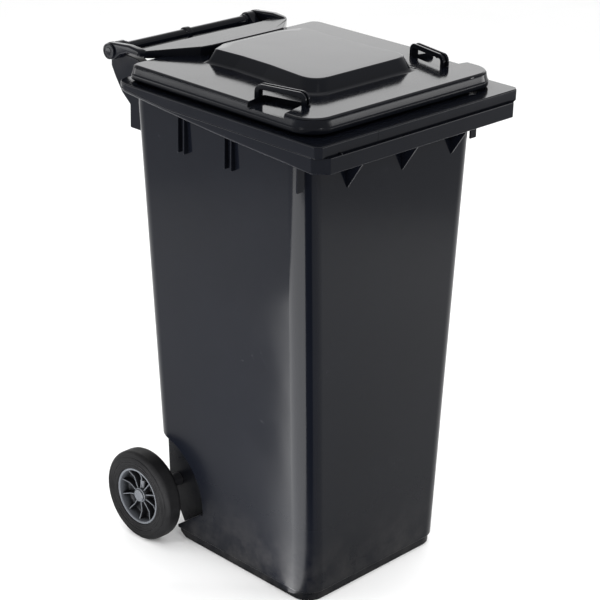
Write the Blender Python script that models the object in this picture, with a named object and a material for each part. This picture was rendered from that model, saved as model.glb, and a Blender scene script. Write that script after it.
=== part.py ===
"""Two-wheeled refuse bin of the 240 litre class: tapered tub with a comb ledge, hinged lid, and two
rubber-tyred wheels on a steel axle.

Metres, +Z up, +Y to the back (grip bar, hinge and wheels), the comb ledge at the front on -Y.
The origin is on the ground below the middle of the bin. "left" is the -X side.
"""
import math

import bmesh
import bpy
from mathutils import Vector

# ---- driving dimensions ------------------------------------------------------------------------
SIDE_NAMES = {-1: "left", 1: "right"}
CLEAR = 0.0004            # gap between pieces that touch
WALL = 0.004              # tub wall
LID_WALL = 0.003

# tub body: plan rectangles (half width, front y, rear y) at a few heights
BASE_BAND_TOP = 0.020     # the foot of the tub is set in below this height
NECK_Z = 0.965            # the body reaches the rim here
BASE_PLAN = (0.201, -0.262, 0.187)
NECK_PLAN = (0.246, -0.268, 0.222)
BASE_SET_IN = 0.005
BODY_CORNER = 0.045
FLOOR = 0.006

# rim round the mouth
RIM_TOP = 1.0165
RIM_HALF = 0.283
RIM_REAR = 0.226
RIM_REAR_CORNER = 0.035
RIM_DROP_FRONT = 0.963    # lower edge of the rim skirt at the front
RIM_DROP_REAR = 1.001     # and at the back
LEDGE_FRONT = -0.345      # comb ledge, lower band
LEDGE_STEP_Z = 0.994      # where the upper band starts
LEDGE_STEP_IN = 0.007     # the upper band is set back by this much
LEDGE_CHAMFER = 0.025
MOUTH_PLAN = (0.244, -0.268, 0.196)
MOUTH_TOP = 1.030         # lip that the lid rests on

# ribs under the rim
RIB = 0.0036
SIDE_RIBS = ((0.068, 0.900), (0.051, 0.900), (-0.064, 0.900), (-0.082, 0.900), (-0.2585, 0.902))
SIDE_RIB_PROUD = 0.008
SIDE_RIB_ROOT = 0.220     # the ribs start inside the wall at this distance from the middle
FRONT_GUSSETS = (-0.129, 0.024, 0.168)
GUSSET_FOOT_Z = 0.889
LEDGE_RIB_IN = 0.009      # the webs inside the ledge stop this far behind its front
LEDGE_RIBS = (-0.235, -0.188, -0.094, -0.047, 0.053, 0.103, 0.200, 0.240)

# grip bar and hinge
HINGE_Y = 0.327
HINGE_Z = 1.040
BAR_R = 0.011
COLLAR_R = 0.0145
COLLAR_WIDTH = 0.014
BRACKET_X = (0.170, 0.190)
ARM_X = (0.1915, 0.2075)
KNUCKLE_R = 0.018
PIN_R = 0.006
PIN_HEAD_R = 0.0165
PIN_HEAD = 0.004
PIN_INNER_X = 0.150

# lid
LID_HALF = 0.264
LID_FRONT = -0.302
LID_REAR = 0.210
LID_BOTTOM = 1.0205
LID_TOP = 1.050
LID_FRONT_CORNER = 0.055
LID_REAR_CORNER = 0.026
PLATEAU_TOP = 1.077
RAMP_FRONT = (0.125, 1.0725)   # y and z of the rear section's top at its front
RAMP_REAR = (0.207, 1.062)
HOOD_BOTTOM = 1.044            # the rear section reaches past the lid's edge as a hood, open below
REAR_HALF = ((0.094, 0.147), (0.1175, 0.1545), (0.1995, 0.2310), (0.1995, 0.257))
REAR_HOLLOW = ((0.0915, 0.150), (0.1150, 0.1578), (0.1680, 0.2070))
HOOD_HOLLOW = ((0.1725, 0.2105), (0.1960, 0.2325), (0.1960, 0.2540))
ARM_FRONTS = (0.2236, 0.2385)  # the arms end on the slanting side of the rear section
PLATEAU_DRAFT = 0.013          # the raised faces are smaller than their outlines by this much
REAR_DRAFT = 0.004
SEAT_BOTTOM = 1.0305

# lid handles, one near each front corner
HANDLE_MIDDLE = (0.2055, -0.166)
HANDLE_TURN = math.radians(12.7)
HANDLE_HALF = 0.0565
HANDLE_POST = 0.009
HANDLE_DEPTH = 0.012
HANDLE_TOP = 1.075
HANDLE_BAR = 0.010
RECESS_FLOOR = 1.038

# running gear
AXLE_Y = 0.187
AXLE_Z = 0.100
AXLE_R = 0.010
AXLE_HALF = 0.258
LATCH_X = 0.250
GROOVE_HALF = 0.0046
GROOVE_R = 0.0084
TYRE_R = 0.100
TYRE_INNER_R = 0.0635
TYRE_X = (0.227, 0.272)
HUB_X = (0.2240, 0.2625)
HUB_BORE_R = AXLE_R + CLEAR
BOSS_R = 0.019
SPOKES = 10
SPOKE_HALF = 0.0014
WEB_X = 0.2405            # inner face of the hub's web
BARREL = 0.0055           # thickness of the barrel that carries the tyre
WELL_X = 0.150            # the wheel wells start this far from the middle
WELL_R = 0.136
LUG_XS = (-0.146, -0.050, 0.050, 0.146)
LUG = 0.008
SLEEVE_R = 0.0145
WASHER_R = 0.017
WASHER = 0.0016
PLUNGER_R = 0.0040
PLUNGER_TIP_R = 0.0026
PLUNGER_TIP = 0.0088      # distance of the tip from the axle's middle
PLUNGER_TOP = 0.0208
TOWER_R = 0.0072
TOWER_TOP = 0.0340
SPRING_WIRE = 0.0006
SPRING_TURNS = 4

# transponder nest below the comb ledge
NEST_X = 0.078
NEST_Y = -0.310
NEST_R = 0.0185
NEST_BORE_R = 0.0155
NEST_BOTTOM = 0.992
TRANSPONDER_R = 0.0148
TRANSPONDER = 0.004
PLUG_FLANGE = 0.002


# ---- materials ---------------------------------------------------------------------------------
def material(name, colour, roughness, metallic=0.0):
    made = bpy.data.materials.new(name)
    made.use_nodes = True
    shader = made.node_tree.nodes["Principled BSDF"]
    shader.inputs["Base Color"].default_value = (*colour, 1.0)
    shader.inputs["Roughness"].default_value = roughness
    shader.inputs["Metallic"].default_value = metallic
    return made


# ---- shape helpers -----------------------------------------------------------------------------
def finish_mesh(name, bm, smooth_angle=None):
    bmesh.ops.recalc_face_normals(bm, faces=bm.faces)
    mesh = bpy.data.meshes.new(name)
    bm.to_mesh(mesh)
    bm.free()
    if smooth_angle:
        mesh.shade_smooth()
        mesh.set_sharp_from_angle(angle=math.radians(smooth_angle))
    made = bpy.data.objects.new(name, mesh)
    bpy.context.scene.collection.objects.link(made)
    return made


def bridge(bm, lower, upper):
    count = len(lower)
    for i in range(count):
        j = (i + 1) % count
        bm.faces.new((lower[i], lower[j], upper[j], upper[i]))


def loft(name, rings, smooth_angle=None):
    """Closed solid through rings of points, with a flat face on each end."""
    bm = bmesh.new()
    loops = [[bm.verts.new(p) for p in ring] for ring in rings]
    for lower, upper in zip(loops, loops[1:]):
        bridge(bm, lower, upper)
    bm.faces.new(loops[0])
    bm.faces.new(loops[-1])
    return finish_mesh(name, bm, smooth_angle)


def arc(centre, radius, start, end, steps):
    """Points of an arc; angles in degrees."""
    for i in range(steps + 1):
        angle = math.radians(start + (end - start) * i / steps)
        yield (centre[0] + radius * math.cos(angle), centre[1] + radius * math.sin(angle))


def rounded_plan(half, front, rear, front_corner, rear_corner, steps=5):
    """Plan outline, anticlockwise from the front right corner."""
    corners = (
        ((half - front_corner, front + front_corner), front_corner, -90),
        ((half - rear_corner, rear - rear_corner), rear_corner, 0),
        ((rear_corner - half, rear - rear_corner), rear_corner, 90),
        ((front_corner - half, front + front_corner), front_corner, 180),
    )
    return [p for centre, r, turn in corners for p in arc(centre, r, turn, turn + 90, steps)]


def fillet(outline, radii, steps=4):
    """Rounds each corner of an outline with its own radius."""
    made = []
    for i, (corner, radius) in enumerate(zip(outline, radii)):
        here = Vector(corner)
        back = (Vector(outline[i - 1]) - here).normalized()
        ahead = (Vector(outline[(i + 1) % len(outline)]) - here).normalized()
        if not radius:
            made.append(corner)
            continue
        half_angle = back.angle(ahead) / 2
        reach = radius / math.tan(half_angle)
        for k in range(steps + 1):
            t = k / steps
            p = here + back * reach * (1 - t) ** 2 + ahead * reach * t ** 2
            made.append((p.x, p.y))
    return made


def level(outline, z):
    return [(x, y, z) for x, y in outline]


def slab(name, outline, low, high):
    return loft(name, [level(outline, low), level(outline, high)])


def plate(name, profile, x0, x1):
    """A side profile of (y, z) points, extruded across X."""
    return loft(name, [[(x, y, z) for y, z in profile] for x in (x0, x1)])


def turned(name, profile, segments, centre=(AXLE_Y, AXLE_Z), smooth_angle=35):
    """Profile of (x, radius) points, closed, turned about a line along X through centre."""
    bm = bmesh.new()
    loops = []
    for x, radius in profile:
        ring = []
        for i in range(segments):
            angle = 2 * math.pi * i / segments
            ring.append(bm.verts.new((
                x, centre[0] + radius * math.cos(angle), centre[1] + radius * math.sin(angle))))
        loops.append(ring)
    for lower, upper in zip(loops, loops[1:] + loops[:1]):
        bridge(bm, lower, upper)
    return finish_mesh(name, bm, smooth_angle)


def rod(name, x0, x1, radius, segments, centre, smooth_angle=35):
    rings = [[(x, *p) for p in list(arc(centre, radius, 0, 360, segments))[:-1]] for x in (x0, x1)]
    return loft(name, rings, smooth_angle)


def post(name, centre, radius, low, high, segments=24, smooth_angle=35):
    rings = [level(list(arc(centre, radius, 0, 360, segments))[:-1], z) for z in (low, high)]
    return loft(name, rings, smooth_angle)


def combine(target, tools, operation):
    """Boolean of the target with each tool in turn; the tools are used up."""
    for tool in tools:
        step = target.modifiers.new(operation, "BOOLEAN")
        step.operation = operation
        step.solver = "EXACT"
        step.object = tool
        bpy.context.view_layer.update()
        graph = bpy.context.evaluated_depsgraph_get()
        mesh = bpy.data.meshes.new_from_object(target.evaluated_get(graph))
        target.modifiers.remove(step)
        target.data = mesh
        bpy.data.objects.remove(tool)
    return target


def mirrored(points):
    return [(-x, y) for x, y in reversed(points)]


# ---- tub ---------------------------------------------------------------------------------------
def body_plan(z, inset=0.0):
    """Outer plan of the tub at a height, moved in by the inset."""
    t = (z - BASE_BAND_TOP) / (NECK_Z - BASE_BAND_TOP)
    half, front, rear = (a + (b - a) * t for a, b in zip(BASE_PLAN, NECK_PLAN))
    corner = BODY_CORNER - inset
    return rounded_plan(half - inset, front + inset, rear - inset, corner, corner)


def body_solid():
    foot = body_plan(BASE_BAND_TOP, BASE_SET_IN)
    return loft("tub", [
        level(foot, 0.0),
        level(foot, BASE_BAND_TOP),
        level(body_plan(BASE_BAND_TOP), BASE_BAND_TOP + 0.003),
        level(body_plan(NECK_Z), NECK_Z),
        level(body_plan(NECK_Z), RIM_TOP - 0.002),
    ])


def mouth_plan(inset=0.0):
    half, front, rear = MOUTH_PLAN
    corner = BODY_CORNER - inset
    return rounded_plan(half - inset, front + inset, rear - inset, corner, corner)


def cavity_solid():
    """The hollow of the tub, less the space round the wheels and the axle."""
    low = body_plan(BASE_BAND_TOP, BASE_SET_IN + WALL)
    shoulder = RIM_TOP - 2 * WALL
    cavity = loft("cavity", [
        level(low, FLOOR),
        level(low, BASE_BAND_TOP),
        level(body_plan(BASE_BAND_TOP, WALL), BASE_BAND_TOP + 0.006),
        level(body_plan(NECK_Z, WALL), NECK_Z),
        level(body_plan(NECK_Z, WALL), shoulder),
        level(mouth_plan(WALL), shoulder + WALL),
        level(mouth_plan(WALL), MOUTH_TOP + 0.01),
    ])
    return combine(cavity, gear_space(WALL), "DIFFERENCE")


def gear_space(grow=0.0):
    """Wheel wells and the axle recess between them, as solids grown by the wall."""
    reach = 0.30
    arch = list(arc((AXLE_Y, AXLE_Z), WELL_R + grow, 90, 188, 12))
    well = arch + [(0.058 - grow, 0.083 - grow), (0.133 - 2.8 * grow, 0.028), (0.128 - 2.8 * grow, 0.011),
                   (0.110 - grow, 0.0), (0.108 - grow, -0.01), (reach, -0.01),
                   (reach, AXLE_Z + WELL_R + grow)]
    recess = [(0.132 - grow, -0.01), (0.132 - grow, 0.100), (0.145 - grow, 0.140 + grow),
              (0.180, 0.170 + grow), (reach, 0.205 + grow), (reach, -0.01)]
    return [
        plate("well", well, WELL_X - grow, reach),
        plate("well", well, -reach, grow - WELL_X),
        plate("recess", recess, -WELL_X - 0.001, WELL_X + 0.001),
    ]


def rim_drop(y):
    """Height of the rim skirt's lower edge, which rises to the back."""
    t = max(0.0, min(1.0, (y - LEDGE_FRONT) / (RIM_REAR - LEDGE_FRONT)))
    return RIM_DROP_FRONT + (RIM_DROP_REAR - RIM_DROP_FRONT) * t ** 1.5


def rim_plan(front, cut, inset=0.0):
    """Rim outline: straight front with cut corners, rounded corners at the back."""
    half, r = RIM_HALF - inset, RIM_REAR_CORNER - inset
    front = front + inset
    right = [(half - cut, front), (half, front + cut), (half, -0.15), (half, 0.0), (half, 0.1)]
    right += arc((half - r, RIM_REAR - inset - r), r, 0, 90, 5)
    return right + mirrored(right)


def rim_shell():
    """Flange and skirt round the mouth, with the two-band ledge at the front, open below."""
    lower = rim_plan(LEDGE_FRONT, LEDGE_CHAMFER)
    upper = rim_plan(LEDGE_FRONT + LEDGE_STEP_IN, 0.002)
    step = [max(LEDGE_STEP_Z, rim_drop(y) + 0.004) for _, y in lower]
    rim = loft("rim", [
        [(x, y, rim_drop(y)) for x, y in lower],
        [(x, y, z) for (x, y), z in zip(lower, step)],
        [(x, y, z + 0.002) for (x, y), z in zip(upper, step)],
        level(upper, RIM_TOP),
    ])
    hollow_lower = rim_plan(LEDGE_FRONT, LEDGE_CHAMFER - WALL / 2, WALL)
    hollow_upper = rim_plan(LEDGE_FRONT + LEDGE_STEP_IN, 0.002, WALL)
    hollow = loft("rim hollow", [
        level(hollow_lower, RIM_DROP_FRONT - 0.01),
        level(hollow_lower, LEDGE_STEP_Z - WALL / 2),
        level(hollow_upper, LEDGE_STEP_Z),
        level(hollow_upper, RIM_TOP - WALL),
    ])
    return combine(rim, [hollow], "DIFFERENCE")


def side_ribs():
    """Vertical ribs between the body and the rim, on both sides."""
    ribs = []
    outer = NECK_PLAN[0] + SIDE_RIB_PROUD
    for y, foot in SIDE_RIBS:
        for side in (-1, 1):
            bottom = [(side * x, y + dy) for x, dy in
                      ((SIDE_RIB_ROOT, 0.0), (outer, 0.0), (outer, RIB), (SIDE_RIB_ROOT, RIB))]
            ribs.append(loft("rib", [level(bottom, foot), level(bottom, RIM_TOP - WALL / 2)]))
    return ribs


def front_gussets():
    """Thin webs under the comb ledge: three reach down the front wall, the rest stay inside."""
    root, nose = NECK_PLAN[1] + WALL / 2, LEDGE_FRONT + LEDGE_RIB_IN
    top = RIM_TOP - WALL / 2
    low = RIM_DROP_FRONT + 0.004
    webs = [plate("gusset", [(root, GUSSET_FOOT_Z), (root, top), (nose, top), (nose, low),
                             (-0.3205, low), (NECK_PLAN[1] - 0.001, GUSSET_FOOT_Z)],
                  x - RIB / 2, x + RIB / 2) for x in FRONT_GUSSETS]
    short = [(root, RIM_DROP_FRONT + 0.006), (root, top), (nose, top),
             (nose, RIM_DROP_FRONT + 0.006)]
    return webs + [plate("web", short, x - RIB / 2, x + RIB / 2) for x in LEDGE_RIBS]


def bracket_profile():
    """Side outline of a bracket that carries the grip bar, from the bar down to the rear wall."""
    knuckle = list(arc((HINGE_Y, HINGE_Z), KNUCKLE_R - 0.001, -8, 140, 10))
    wall = NECK_PLAN[2] - WALL / 2
    return knuckle + [(0.300, 1.037), (0.262, 1.033), (0.238, 1.024), (0.230, 1.005), (wall, 1.005),
                      (wall, 0.885), (0.287, 0.885), (0.287, 0.934), (0.3115, 0.954), (0.332, 0.983),
                      (0.3440, 1.004)]


def axle_lugs():
    """Plates that carry the axle; the outer two are tall cheeks beside the wheels."""
    front = [(0.130, 0.0), (0.168, 0.0), (0.204, 0.060)]
    inner = front + list(arc((AXLE_Y, AXLE_Z), 0.0215, -40, 50, 6))
    inner += [(0.203, 0.150), (0.200, 0.178), (0.178, 0.1715), (0.1435, 0.1415), (0.130, 0.1008)]
    cheek = front + [(0.216, 0.095), (0.222, 0.200), (0.1955, 0.2455), (0.1935, 0.240), (0.1915, 0.1755),
                     (0.178, 0.1715), (0.1435, 0.1415), (0.130, 0.1008)]
    return [plate("lug", cheek if abs(x) > 0.1 else inner, x - LUG / 2, x + LUG / 2) for x in LUG_XS]


def tub():
    body = body_solid()
    hinge = (HINGE_Y, HINGE_Z)
    lip = slab("lip", mouth_plan(), RIM_TOP - WALL, MOUTH_TOP)
    brackets = [plate("bracket", bracket_profile(), *sorted((side * BRACKET_X[0],
                                                             side * BRACKET_X[1])))
                for side in (-1, 1)]
    inner = BRACKET_X[0] + 0.002
    bar = rod("bar", -inner, inner, BAR_R, 20, hinge)
    collar = rod("collar", -COLLAR_WIDTH / 2, COLLAR_WIDTH / 2, COLLAR_R, 20, hinge)
    combine(body, [rim_shell(), lip] + side_ribs() + front_gussets() + brackets + [bar, collar],
            "UNION")
    combine(body, gear_space(), "DIFFERENCE")
    combine(body, axle_lugs(), "UNION")
    combine(body, [cavity_solid()], "DIFFERENCE")
    nest = post("nest", (NEST_X, NEST_Y), NEST_R, NEST_BOTTOM, RIM_TOP - WALL / 2)
    combine(body, [nest], "UNION")
    bore = AXLE_R + CLEAR
    cuts = [rod("axle bore", -0.16, 0.16, bore, 24, (AXLE_Y, AXLE_Z)),
            post("nest bore", (NEST_X, NEST_Y), NEST_BORE_R, NEST_BOTTOM - 0.01, RIM_TOP - WALL)]
    for side in (-1, 1):
        span = sorted((side * (PIN_INNER_X - 0.001), side * 0.2))
        cuts.append(rod("pin bore", *span, PIN_R + CLEAR, 16, hinge))
    return combine(body, cuts, "DIFFERENCE")


# ---- lid ---------------------------------------------------------------------------------------
def lid_plan(inset=0.0):
    return rounded_plan(LID_HALF - inset, LID_FRONT + inset, LID_REAR - inset,
                        LID_FRONT_CORNER - inset, LID_REAR_CORNER - inset, 6)


def plateau_plan(inset=0.0):
    """Raised front panel: a gentle waist and rounded front corners."""
    half = [(0.088, 0.140), (0.136, 0.112), (0.131, 0.040), (0.133, -0.040), (0.146, -0.190)]
    outline = [(x - inset, y + (inset if y < -0.1 else -inset / 2)) for x, y in reversed(half)]
    outline += [(-x, y) for x, y in reversed(outline)]
    return fillet(outline, (0.040, 0.060, 0.060, 0.022, 0.040) + (0.040, 0.022, 0.060, 0.060, 0.040))


def both_halves(half):
    return list(half) + [(-x, y) for x, y in reversed(half)]


def rear_plan(inset=0.0):
    """Raised rear section behind a narrow groove, which widens to the hinge arms."""
    return both_halves([(x - inset, y + inset if y < 0.2 else y - inset) for x, y in REAR_HALF])


def ramp_z(y, drop=0.0):
    (y0, z0), (y1, z1) = RAMP_FRONT, RAMP_REAR
    return z0 + (z1 - z0) * (y - y0) / (y1 - y0) - drop


def under_ramp(name, outline, low, drop=0.0):
    """Solid from a level up to the slope of the rear section."""
    return loft(name, [level(outline, low), [(x, y, ramp_z(y, drop)) for x, y in outline]])


def plateau_solid(thick=0.0, base=LID_TOP - 0.002):
    """thick moves every face in, for the hollow under the panel."""
    return loft("plateau", [level(plateau_plan(thick), base),
                            level(plateau_plan(thick + PLATEAU_DRAFT), PLATEAU_TOP - thick)])


def rear_solid():
    slope = [(x, y, ramp_z(y)) for x, y in rear_plan(REAR_DRAFT)]
    return loft("rear section", [level(rear_plan(), HOOD_BOTTOM), slope])


def handle_frame(side, along, out):
    """Plan position from distances along the handle's bar (to the front) and out from it."""
    cos, sin = math.cos(HANDLE_TURN), math.sin(HANDLE_TURN)
    x, y = HANDLE_MIDDLE
    return (side * (x - along * sin + out * cos), y - along * cos - out * sin)


def handle_block(name, side, along, out, low, high):
    corners = [(along[0], out[0]), (along[1], out[0]), (along[1], out[1]), (along[0], out[1])]
    return slab(name, [handle_frame(side, a, o) for a, o in corners], low, high)


def recess(side, grow=0.0):
    reach = HANDLE_HALF - HANDLE_POST - 0.001
    return handle_block("recess", side, (-reach - grow, reach + grow), (-0.004 - grow, 0.11),
                        RECESS_FLOOR - grow, LID_TOP + 0.01)


def lid_handle(side):
    """Loop over the finger recess: two posts and a bar."""
    depth = (-HANDLE_DEPTH / 2, HANDLE_DEPTH / 2)
    half, foot = HANDLE_HALF, LID_TOP - 0.002
    return [
        handle_block("post", side, (-half, HANDLE_POST - half), depth, foot, HANDLE_TOP),
        handle_block("post", side, (half - HANDLE_POST, half), depth, foot, HANDLE_TOP),
        handle_block("bar", side, (-half + 0.002, half - 0.002), (depth[0] + 0.001, depth[1] - 0.001),
                     HANDLE_TOP - HANDLE_BAR, HANDLE_TOP - 0.0005),
    ]


def arm(side):
    """Hinge arm: knuckle at the bar, running forward into the rear section."""
    rings = []
    for x, front in zip(ARM_X, ARM_FRONTS):
        profile = list(arc((HINGE_Y, HINGE_Z), KNUCKLE_R, -130, 92, 14))
        profile += [(0.290, 1.062), (0.262, 1.065), (front + 0.004, 1.0662), (front, 1.0655),
                    (front, HOOD_BOTTOM + 0.001), (0.250, 1.047), (0.275, 1.047), (0.300, 1.038)]
        rings.append([(side * x, y, z) for y, z in profile])
    return loft("arm", rings)


def seat_ring():
    """Rib under the lid that rests on the lip of the tub."""
    ring = slab("seat", mouth_plan(0.0005), SEAT_BOTTOM, LID_TOP - LID_WALL / 2)
    hollow = slab("seat hollow", mouth_plan(0.0005 + LID_WALL), SEAT_BOTTOM - 0.01, LID_TOP)
    return combine(ring, [hollow], "DIFFERENCE")


def lid():
    sides = (-1, 1)
    under = LID_TOP - LID_WALL
    panel = slab("lid", lid_plan(), LID_BOTTOM, LID_TOP)
    combine(panel, [plateau_solid(), rear_solid()], "UNION")
    hollow = slab("lid hollow", lid_plan(LID_WALL), LID_BOTTOM - 0.01, under)
    rear_hollow = under_ramp("rear hollow", both_halves(REAR_HOLLOW), under - 0.002, LID_WALL)
    combine(hollow, [plateau_solid(LID_WALL, under - 0.002), rear_hollow], "UNION")
    combine(hollow, [recess(side, LID_WALL) for side in sides], "DIFFERENCE")
    hood_hollow = under_ramp("hood hollow", both_halves(HOOD_HOLLOW), HOOD_BOTTOM - 0.01, LID_WALL)
    combine(panel, [hollow, hood_hollow], "DIFFERENCE")
    combine(panel, [seat_ring()], "UNION")
    combine(panel, [recess(side) for side in sides], "DIFFERENCE")
    combine(panel, lid_handle(-1) + lid_handle(1) + [arm(side) for side in sides], "UNION")
    bores = [rod("bore", *sorted((side * 0.1, side * 0.22)), PIN_R + CLEAR, 16,
                 (HINGE_Y, HINGE_Z)) for side in (-1, 1)]
    return combine(panel, bores, "DIFFERENCE")


def hinge_pin(side):
    """Headed pin that goes through the lid's arm into the end of the grip bar."""
    head_in = ARM_X[1] + CLEAR
    head_out = head_in + PIN_HEAD
    profile = [(PIN_INNER_X, 0.0045), (PIN_INNER_X + 0.0015, PIN_R), (head_in, PIN_R),
               (head_in, PIN_HEAD_R), (head_out - 0.0012, PIN_HEAD_R),
               (head_out, PIN_HEAD_R - 0.0016)]
    return solid_of_revolution("hinge_pin_" + SIDE_NAMES[side], side, profile,
                               (HINGE_Y, HINGE_Z), 20)


# ---- running gear ------------------------------------------------------------------------------
def solid_of_revolution(name, side, profile, centre=(AXLE_Y, AXLE_Z), segments=24):
    """Profile of (distance from the middle, radius), closed by flat ends, on one side."""
    rings = []
    for x, radius in profile:
        points = list(arc(centre, radius, 0, 360, segments))[:-1]
        rings.append([(side * x, *p) for p in points])
    return loft(name, rings, 35)


def ring_of_revolution(name, side, profile, segments):
    return turned(name, [(side * x, radius) for x, radius in profile], segments)


def axle():
    groove = (LATCH_X - GROOVE_HALF, LATCH_X + GROOVE_HALF)
    half = [(groove[0], AXLE_R), (groove[0] + 0.0008, GROOVE_R), (groove[1] - 0.0008, GROOVE_R),
            (groove[1], AXLE_R), (AXLE_HALF - 0.0015, AXLE_R), (AXLE_HALF, AXLE_R - 0.0015)]
    profile = [(-x, r) for x, r in reversed(half)] + half
    return solid_of_revolution("axle", 1, profile)


def wheel_hub(side):
    """Boss, dished web and barrel with ten spokes; a tower on the boss guides the latch plunger."""
    x0, x1 = HUB_X
    rim0, rim1 = TYRE_X[0] + 0.001, TYRE_X[1] - 0.003
    web = WEB_X
    outer_r = TYRE_INNER_R - CLEAR
    barrel_r = outer_r - BARREL
    profile = [
        (x0, HUB_BORE_R), (x1, HUB_BORE_R), (x1, BOSS_R - 0.003), (x1 - 0.002, BOSS_R - 0.002),
        (web + 0.004, BOSS_R), (web + 0.003, barrel_r - 0.006), (rim1 - 0.004, barrel_r),
        (rim1, barrel_r + 0.002), (rim1, outer_r - 0.001), (rim1 - 0.001, outer_r),
        (rim0, outer_r), (rim0, barrel_r), (web, barrel_r - 0.004), (web, BOSS_R), (x0, BOSS_R),
    ]
    hub = ring_of_revolution("wheel_hub_" + SIDE_NAMES[side], side, profile, 36)
    spokes = []
    for i in range(SPOKES):
        angle = 2 * math.pi * (i + 0.5) / SPOKES
        out = Vector((0, math.cos(angle), math.sin(angle)))
        across = Vector((0, -math.sin(angle), math.cos(angle))) * SPOKE_HALF
        centre = Vector((0, AXLE_Y, AXLE_Z))
        # the spoke's outer edge leans inward from the barrel to the boss
        rings = []
        for radius, face in ((BOSS_R - 0.003, x1 - 0.004), (barrel_r + 0.001, rim1 - 0.008)):
            middle = centre + out * radius
            rings.append([middle + across * s + Vector((side * x, 0, 0))
                          for x, s in ((web + 0.001, -1), (face, -1), (face, 1), (web + 0.001, 1))])
        spokes.append(loft("spoke", rings))
    combine(hub, spokes, "UNION")
    tower = post("tower", (side * LATCH_X, AXLE_Y), TOWER_R, AXLE_Z + BOSS_R - 0.004,
                 AXLE_Z + TOWER_TOP, 16)
    pocket = post("pocket", (side * LATCH_X, AXLE_Y), PLUNGER_R + CLEAR, AXLE_Z,
                  AXLE_Z + TOWER_TOP - 0.002, 16)
    combine(hub, [tower], "UNION")
    return combine(hub, [pocket], "DIFFERENCE")


def tyre(side):
    """Solid rubber tyre with a rounded tread and a stepped side wall."""
    x0, x1 = TYRE_X
    profile = [
        (x0 + 0.001, TYRE_INNER_R), (x1 - 0.0025, TYRE_INNER_R), (x1 - 0.0015, TYRE_INNER_R + 0.002),
        (x1 - 0.001, 0.076), (x1, 0.078), (x1, 0.088), (x1 - 0.004, 0.0955), (x1 - 0.010, TYRE_R - 0.001),
        (x1 - 0.016, TYRE_R), (x0 + 0.016, TYRE_R), (x0 + 0.010, TYRE_R - 0.001),
        (x0 + 0.004, 0.0955), (x0, 0.088), (x0, 0.070),
    ]
    return ring_of_revolution("tyre_" + SIDE_NAMES[side], side, profile, 48)


def hub_cap(side):
    x1 = HUB_X[1] + CLEAR
    profile = [(AXLE_HALF + CLEAR, 0.0080), (AXLE_HALF + 0.0012, AXLE_R), (x1, AXLE_R),
               (x1, 0.0135), (x1 + 0.0022, 0.0130), (x1 + 0.0034, 0.0105)]
    return solid_of_revolution("hub_cap_" + SIDE_NAMES[side], side, profile)


def axle_sleeve(side):
    start = LUG_XS[-1] + LUG / 2 + CLEAR
    end = HUB_X[0] - WASHER - 2 * CLEAR
    bore = AXLE_R + CLEAR
    profile = [(start, bore), (end, bore), (end, SLEEVE_R), (start, SLEEVE_R)]
    return ring_of_revolution("axle_sleeve_" + SIDE_NAMES[side], side, profile, 24)


def thrust_washer(side):
    start = HUB_X[0] - WASHER - CLEAR
    bore = AXLE_R + CLEAR
    profile = [(start, bore), (start + WASHER, bore), (start + WASHER, WASHER_R), (start, WASHER_R)]
    return ring_of_revolution("thrust_washer_" + SIDE_NAMES[side], side, profile, 24)


def latch_plunger(side):
    """Pin in the hub's tower whose tip sits in the axle's groove."""
    middle = (side * LATCH_X, AXLE_Y)
    rings = []
    for height, radius in ((PLUNGER_TIP, PLUNGER_TIP_R), (PLUNGER_TIP + 0.0014, PLUNGER_R),
                           (PLUNGER_TOP, PLUNGER_R)):
        rings.append(level(list(arc(middle, radius, 0, 360, 16))[:-1], AXLE_Z + height))
    return loft("latch_plunger_" + SIDE_NAMES[side], rings, 35)


def latch_spring(side):
    """Compression spring between the plunger and the closed end of the tower."""
    low = AXLE_Z + PLUNGER_TOP + CLEAR + SPRING_WIRE
    high = AXLE_Z + TOWER_TOP - 0.002 - CLEAR - SPRING_WIRE
    coil_r = PLUNGER_R - SPRING_WIRE - CLEAR
    steps = 10 * SPRING_TURNS
    bm = bmesh.new()
    loops = []
    for i in range(steps + 1):
        angle = 2 * math.pi * SPRING_TURNS * i / steps
        middle = Vector((side * LATCH_X + coil_r * math.cos(angle),
                         AXLE_Y + coil_r * math.sin(angle), low + (high - low) * i / steps))
        out = Vector((math.cos(angle), math.sin(angle), 0))
        loops.append([bm.verts.new(middle + (out * math.cos(turn) + Vector((0, 0, math.sin(turn))))
                                   * SPRING_WIRE)
                      for turn in (2 * math.pi * k / 6 for k in range(6))])
    for lower, upper in zip(loops, loops[1:]):
        bridge(bm, lower, upper)
    bm.faces.new(loops[0])
    bm.faces.new(loops[-1])
    return finish_mesh("latch_spring_" + SIDE_NAMES[side], bm, 60)


# ---- transponder nest --------------------------------------------------------------------------
def transponder():
    top = RIM_TOP - WALL - CLEAR
    return post("transponder", (NEST_X, NEST_Y), TRANSPONDER_R, top - TRANSPONDER, top)


def nest_plug():
    """Cap pressed into the nest from below."""
    top = RIM_TOP - WALL - 2 * CLEAR - TRANSPONDER
    flange = NEST_BOTTOM - CLEAR
    rings = [(flange - PLUG_FLANGE, NEST_R - 0.001), (flange, NEST_R - 0.001),
             (flange, NEST_BORE_R - CLEAR), (top, NEST_BORE_R - CLEAR)]
    return loft("nest_plug", [level(list(arc((NEST_X, NEST_Y), r, 0, 360, 24))[:-1], z)
                              for z, r in rings], 35)


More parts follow.
